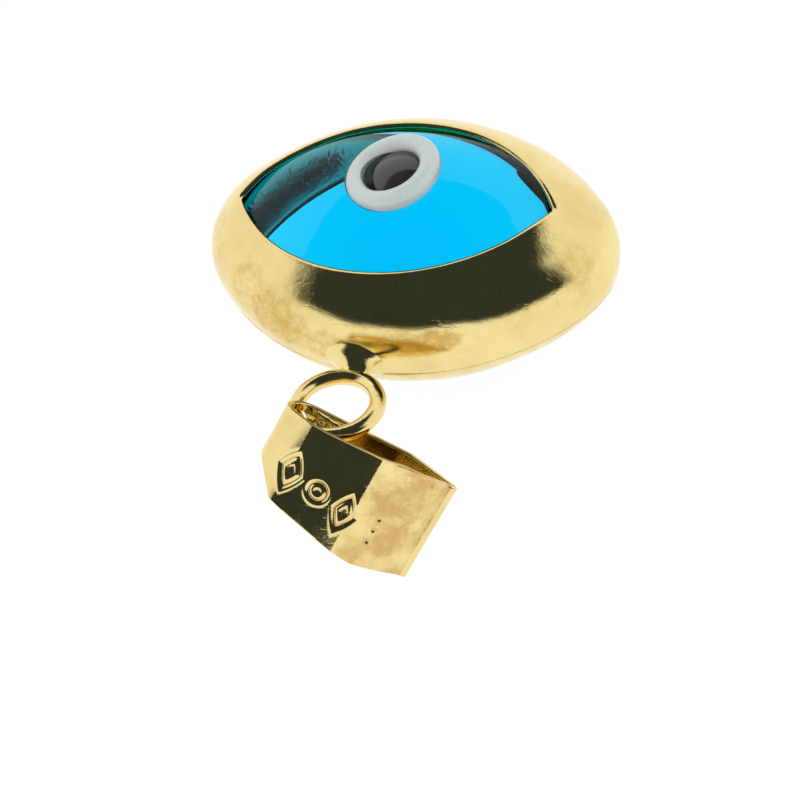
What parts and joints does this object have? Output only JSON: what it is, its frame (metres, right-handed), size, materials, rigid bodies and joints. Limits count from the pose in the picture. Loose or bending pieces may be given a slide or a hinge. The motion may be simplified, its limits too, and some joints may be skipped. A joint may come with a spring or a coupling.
{
  "type": "evil eye pendant",
  "caption": "Puffed gold eye that holds a domed blue glass stone with a white iris and black pupil, on a soldered wire ring with a folded strip bail that swings on it.",
  "frame": {"origin": "under the middle of the pendant's box, on the plane that it lies on, with the eye face up", "axes": "+Z out of the eye's front, +Y from the bail towards the eye, +X from the eye's left corner to its right corner, seen from the front with the bail nearest"},
  "size_m": [0.02, 0.0228, 0.0115],
  "materials": {
    "gold": "polished yellow gold, worn, with fine scratches, pits and a little tarnish",
    "solder": "gold solder, slightly grainy",
    "blue_glass": "transparent cobalt to cyan glass, polished",
    "white_glass": "opaque milk-white glass, satin",
    "black_glass": "opaque near-black glass, polished"
  },
  "bodies": {
    "pendant": {"front_shell": "gold", "back_shell": "gold", "seam_solder": "solder", "glass_eye": "blue_glass", "iris_ring": "white_glass", "pupil": "black_glass", "hanging_ring": "gold", "ring_solder": "solder"},
    "bail": {"bail_strap": "gold", "bail_solder": "solder"}
  },
  "joints": [
    {"name": "bail_swing", "type": "hinge", "parent": "pendant", "child": "bail", "pos_m": [-0.00107, -0.00569, 0.00558], "axis": [0, 0.1132, 0.9936], "range_deg": [-60, 60]}
  ]
}
